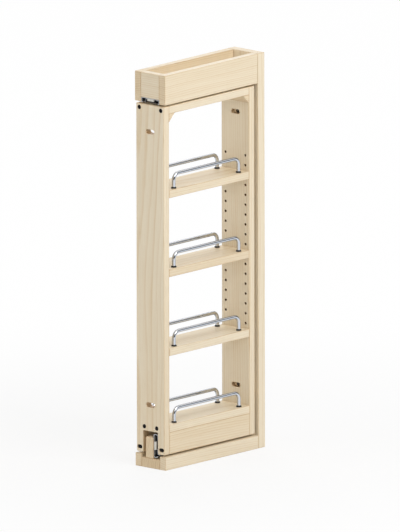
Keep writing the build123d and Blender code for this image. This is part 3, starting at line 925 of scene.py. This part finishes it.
def race(ball, wall, sign, upwards=True, steps=8):
    """The sheet's middle line where it is bent round a ball. Sign is the side that it bulges to."""
    w, level, radius = ball
    bend = radius + ball_clearance + half_sheet
    reach = acos(min(1.0, abs(wall - w) / bend))
    angles = [-reach + 2 * reach * i / steps for i in range(steps + 1)]
    points = [(w + sign * bend * cos(angle), level + bend * sin(angle)) for angle in angles]
    return points if upwards else list(reversed(points))


def thicken(line):
    """The closed outline of a sheet whose middle line is given."""
    left, right = [], []
    for index, point in enumerate(line):
        before = Vector(line[max(index - 1, 0)])
        after = Vector(line[min(index + 1, len(line) - 1)])
        ahead = (after - before).normalized()
        side = Vector((-ahead.y, ahead.x)) * half_sheet
        left.append(Vector(point) + side)
        right.append(Vector(point) - side)
    return left + list(reversed(right))


def whole(half_line):
    """The line of a member's whole width, from the half that starts at its middle."""
    return [(-w, level) for w, level in reversed(half_line)] + half_line


# Middle lines of the three members
outer_side = outer_wall + half_sheet
lip_middle = lip_level - half_sheet
outer_line = whole(
    corner((0, half_sheet), (outer_side, half_sheet), (outer_side, lip_level), outer_fold_radius)
    + race(outer_ball, outer_side, 1)
    + corner((outer_side, 0), (outer_side, lip_middle), (lip_edge, lip_middle), lip_fold_radius)
    + [(lip_edge, lip_middle)]
)
middle_side = middle_wall + half_sheet
web_middle = middle_web_level + half_sheet
middle_line = whole(
    [(middle_side - middle_bend_start, web_middle)]
    + [(middle_side - middle_bend_end, web_middle + middle_web_rise)]
    + race(outer_ball, middle_side, -1)
    + race(inner_ball, middle_side, 1)
    + [(middle_side, middle_edge_level)]
)
inner_side = inner_wall + half_sheet
inner_web_middle = slide_thick - half_sheet
inner_line = whole(
    corner((0, inner_web_middle), (inner_side, inner_web_middle), (inner_side, 0), inner_fold_radius)
    + race(inner_ball, inner_side, -1, upwards=False)
    + [(inner_side, inner_edge_level)]
)


def reach_forward(node):
    """Where a node starts and ends along the slide's z, which runs towards the front."""
    low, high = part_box(node)
    return -high.y, -low.y


def lengthways(half_length, half_width):
    """A slot outline that is long in the slide's direction."""
    return [(y, x) for x, y in stadium(half_length, half_width)]


def outer_screw_depths(span):
    """Where an outer member's screws are along the slide: near its ends and halfway."""
    start, end = span
    return (start + slide_screw_inset, (start + end) / 2, end - slide_screw_inset)


def inner_screw_depths(span):
    """Where an inner member's screws are along the slide: near its ends."""
    start, end = span
    return (start + slide_screw_inset, end - slide_screw_inset)


def outer_holes(span):
    """Screw holes, and slots and round holes between them."""
    screw_hole = circle(slide_screw_hole, punched_sides)
    round_hole = circle(slide_round_hole, punched_sides)
    slot = lengthways(outer_slot_half_length, slide_slot_half_width)
    spots = outer_screw_depths(span)
    holes = [(screw_hole, half_sheet, z) for z in spots]
    for a, b in zip(spots, spots[1:]):
        for share, shape in ((0.25, slot), (0.5, round_hole), (0.75, slot)):
            holes.append((shape, half_sheet, a + (b - a) * share))
    return holes


def access_slots(outer_span):
    """Slots in front of the outer member's screws."""
    shape = lengthways(access_slot_half_length, access_slot_half_width)
    return [(shape, web_middle, z) for z in outer_screw_depths(outer_span)]


def inner_holes(span):
    """Screw holes near the ends and slots for adjustment along the middle."""
    start, end = span
    screw_hole = circle(slide_screw_hole, punched_sides)
    slot = lengthways(inner_slot_half_length, slide_slot_half_width)
    holes = [(screw_hole, inner_web_middle, z) for z in inner_screw_depths(span)]
    for share in (0.3, 0.42, 0.58, 0.7):
        holes.append((slot, inner_web_middle, start + (end - start) * share))
    return holes


def member(slide, kind, line, holes):
    """One rolled member of a slide, with its punched holes as (outline, level, depth)."""
    node = f"{slide}_slide_{kind}"
    place = slide_frame(slide)
    outline = thicken(line)
    mesh = bmesh.new()
    loft(mesh, [ring(place, outline, z) for z in reach_forward(node)])
    piece = finish_mesh(f"{node}_rolled", mesh, zinc, rolled_smooth_angle)
    cutters = bmesh.new()
    for hole, level, z in holes:
        spot = place @ Matrix.Translation((0, level, z)) @ facing_board
        loft(cutters, [ring(spot, hole, height) for height in (-punch_reach, punch_reach)])
    carve(piece, cutters)
    stand_in(piece, node)


def sort_faces(mesh):
    """Put a mesh's faces in one order, because Blender makes a sphere's in another one in every run."""
    mesh.verts.index_update()
    count = len(mesh.verts)
    mesh.faces.sort(key=lambda face: face.verts[0].index * count + face.verts[1].index)


def ball_cage(slide, kind, ball, width):
    """Two pierced strips and a full row of balls in each."""
    place = slide_frame(slide)
    node = f"{slide}_{kind}_cage"
    start, end = reach_forward(node)
    w, level, radius = ball
    hole = circle(radius + cage_hole_fit, punched_sides)
    strips = bmesh.new()
    cutters = bmesh.new()
    balls = bmesh.new()
    step = (end - start) / balls_in_row
    for side in (-1, 1):
        low = (side * w - cage_thick / 2, level - width / 2, start)
        high = (side * w + cage_thick / 2, level + width / 2, end)
        rounded_box(strips, low, high, cage_edge, 1)
        for index in range(balls_in_row):
            spot = place @ Matrix.Translation((side * w, level, start + step * (index + 0.5)))
            through = [ring(spot @ facing_across, hole, height) for height in (-pierce_reach, pierce_reach)]
            loft(cutters, through)
            bmesh.ops.create_uvsphere(
                balls, u_segments=ball_segments, v_segments=ball_rings, radius=radius, matrix=spot
            )
    sort_faces(balls)
    bmesh.ops.transform(strips, matrix=place, verts=strips.verts)
    piece = finish_mesh(f"{node}_strips", strips, cage_steel)
    carve(piece, cutters)
    stand_in(piece, node)
    stand_in(finish_mesh(f"{slide}_{kind}_ball_row", balls, ball_steel), f"{slide}_{kind}_balls")


outer_screw_places, inner_screw_places = [], []
inner_web_underside = slide_thick - sheet
for slide in ("upper", "lower"):
    outer_span = reach_forward(f"{slide}_slide_outer")
    inner_span = reach_forward(f"{slide}_slide_inner")
    member(slide, "outer", outer_line, outer_holes(outer_span))
    member(slide, "middle", middle_line, access_slots(outer_span))
    member(slide, "inner", inner_line, inner_holes(inner_span))
    ball_cage(slide, "outer", outer_ball, outer_cage_width)
    ball_cage(slide, "inner", inner_ball, inner_cage_width)
    place = slide_frame(slide)
    for z in outer_screw_depths(outer_span):
        outer_screw_places.append(place @ Matrix.Translation((0, sheet, z)) @ facing_out)
    for z in inner_screw_depths(inner_span):
        spot = place @ Matrix.Translation((0, inner_web_underside, z))
        inner_screw_places.append(spot @ facing_board)
slide_screws = {"outer_slide_screws": outer_screw_places, "inner_slide_screws": inner_screw_places}
for node, places in slide_screws.items():
    screws(node, places, small_pan_head, slide_shank_radius, slide_screw_length, screw_zinc)

bumper_start = reach_forward("slide_bumpers")[0]
bumper_low = (-bumper_half_width, sheet, bumper_start)
bumper_high = (bumper_half_width, sheet + bumper_height, bumper_start + bumper_length)
bumpers = bmesh.new()
for slide in ("upper", "lower"):
    block = bmesh.new()
    rounded_box(block, bumper_low, bumper_high, bumper_edge)
    bmesh.ops.transform(block, matrix=slide_frame(slide), verts=block.verts)
    data = bpy.data.meshes.new("block")
    block.to_mesh(data)
    block.free()
    bumpers.from_mesh(data)
stand_in(finish_mesh("slide_bumpers_soft", bumpers, bumper_white), "slide_bumpers")


# Floor, light and camera

def backdrop():
    """A pale floor that keeps the object's shadow and shows as near white to the camera and in metal."""
    floor = bmesh.new()
    bmesh.ops.create_grid(floor, x_segments=1, y_segments=1, size=floor_half)
    bmesh.ops.translate(floor, verts=floor.verts, vec=(0, 0, -floor_drop))
    shader = Shader("pale_floor", Roughness=0.9, Specular_IOR_Level=0.1)
    grain = shader.noise((40, 40, 40), 3)
    shader.set("Base Color", shader.mix(grain, srgb(246, 246, 245), srgb(242, 242, 241)))
    rays = shader.node("LightPath").outputs
    direct = shader.math("MAXIMUM", rays["Is Camera Ray"], rays["Is Glossy Ray"])
    direct = shader.math("MAXIMUM", direct, rays["Is Transmission Ray"])
    away = shader.node("VectorMath", {0: shader.place}, operation="LENGTH").outputs["Value"]
    plain = shader.between(away, near_distance, far_distance, white_near, white_far)
    share = shader.math("MULTIPLY", direct, plain)
    white = shader.node("Emission", {"Color": grey(1.0), "Strength": 1.0}).outputs[0]
    both = shader.node("MixShader", {0: share, 1: shader.surface.outputs[0], 2: white}).outputs[0]
    shader.feed(shader.nodes["Material Output"].inputs["Surface"], both)
    finish_mesh("floor", floor, shader.material)


def world_light(level):
    """Even light from all round, seen as white by the camera, and with soft darker sides in metal."""
    world = bpy.data.worlds.new("studio")
    bpy.context.scene.world = world
    world.use_nodes = True
    sky = Nodes(world.node_tree)
    sky.nodes.clear()
    rays = sky.node("LightPath").outputs
    direction = sky.node("TexCoord").outputs["Generated"]
    height = sky.node("SeparateXYZ", {0: direction}).outputs["Z"]
    height = sky.math("ADD", sky.math("MULTIPLY", height, 0.5), 0.5)
    bands = sky.ramp(height, [(position, grey(brightness)) for position, brightness in mirror_bands])
    plain = sky.node("Background", {"Color": grey(1.0), "Strength": level}).outputs[0]
    mirror = sky.node("Background", {"Color": bands, "Strength": 1.0}).outputs[0]
    white = sky.node("Background", {"Color": grey(1.0), "Strength": 1.0}).outputs[0]
    around = sky.node("MixShader", {0: rays["Is Glossy Ray"], 1: plain, 2: mirror}).outputs[0]
    direct = sky.math("MAXIMUM", rays["Is Camera Ray"], rays["Is Transmission Ray"])
    seen = sky.node("MixShader", {0: direct, 1: around, 2: white}).outputs[0]
    sky.node("OutputWorld", {"Surface": seen})


def towards(azimuth, elevation):
    """The direction from the object to a viewer or a lamp."""
    a, e = radians(azimuth), radians(elevation)
    return Vector((sin(a) * cos(e), -cos(a) * cos(e), sin(e)))


def soft_light(name, azimuth, elevation, distance, size, level):
    """A square lamp that gives a white card at the object this brightness."""
    lamp = bpy.data.lights.new(name, "AREA")
    lamp.size = size
    lamp.energy = level * pi ** 2 * distance ** 2
    holder = bpy.data.objects.new(name, lamp)
    bpy.context.scene.collection.objects.link(holder)
    direction = towards(azimuth, elevation)
    holder.location = lamp_aim + direction * distance
    holder.rotation_mode = "QUATERNION"
    holder.rotation_quaternion = (-direction).to_track_quat("-Z", "Y")


def camera():
    """A parallel camera at the photograph's angle and scale."""
    data = bpy.data.cameras.new("camera")
    data.type = "ORTHO"
    data.ortho_scale = picture_height / pixels_per_metre
    holder = bpy.data.objects.new("camera", data)
    bpy.context.scene.collection.objects.link(holder)
    back = towards(camera_azimuth, camera_elevation)
    turn = (-back).to_track_quat("-Z", "Y").to_matrix() @ Matrix.Rotation(radians(camera_roll), 3, "Z")
    right, up = turn.col[0], turn.col[1]
    holder.rotation_mode = "QUATERNION"
    holder.rotation_quaternion = turn.to_quaternion()
    holder.location = right * picture_centre_right + up * picture_centre_up + back * camera_distance
    bpy.context.scene.camera = holder


backdrop()
world_light(world_level)
for lamp in lamps:
    soft_light(*lamp)
camera()
bpy.context.scene.view_settings.view_transform = "Standard"
